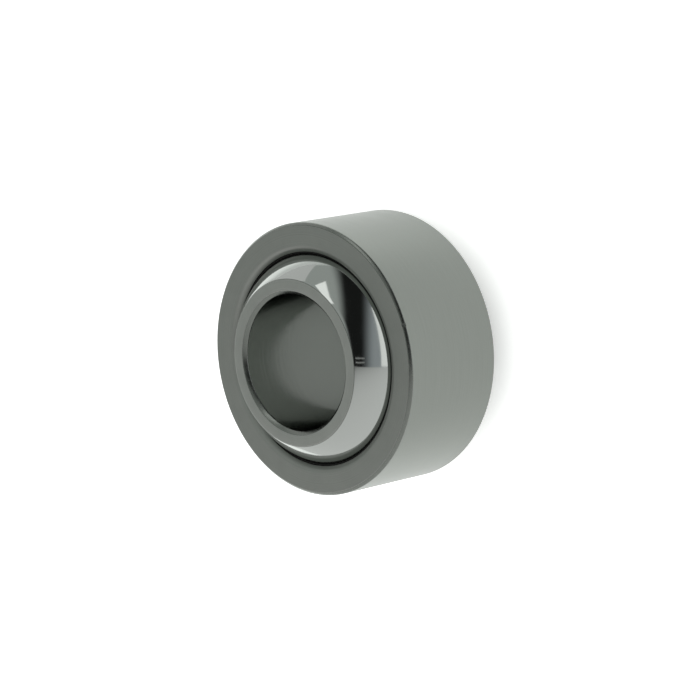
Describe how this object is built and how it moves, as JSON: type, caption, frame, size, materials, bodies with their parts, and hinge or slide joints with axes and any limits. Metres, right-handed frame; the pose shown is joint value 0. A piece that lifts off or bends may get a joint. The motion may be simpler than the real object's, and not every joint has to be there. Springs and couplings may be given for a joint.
{
  "type": "spherical plain bearing",
  "caption": "Self-aligning plain bearing: a polished steel ball with a through bore swivels on a thin dark liner inside a plain steel outer ring.",
  "frame": {"origin": "centre of the ball, the point about which it swivels and the middle of both rings", "axes": "+Z along the bore, out of the upper end face; +X is the axis of the tilt joint; both ends are alike, and the part stands on the inner ring's lower end face"},
  "size_m": [0.04, 0.04, 0.025],
  "materials": {
    "ground_steel": "satin",
    "woven_liner": "matte",
    "polished_ball": "polished"
  },
  "bodies": {
    "lined_ring": {"outer_ring": "ground_steel", "liner": "woven_liner"},
    "ball": {"inner_ring": "polished_ball"}
  },
  "joints": [
    {"name": "ball_tilt", "type": "hinge", "parent": "lined_ring", "child": "ball", "pos_m": [0, 0, 0], "axis": [1, 0, 0], "range_deg": [-14, 14]}
  ]
}
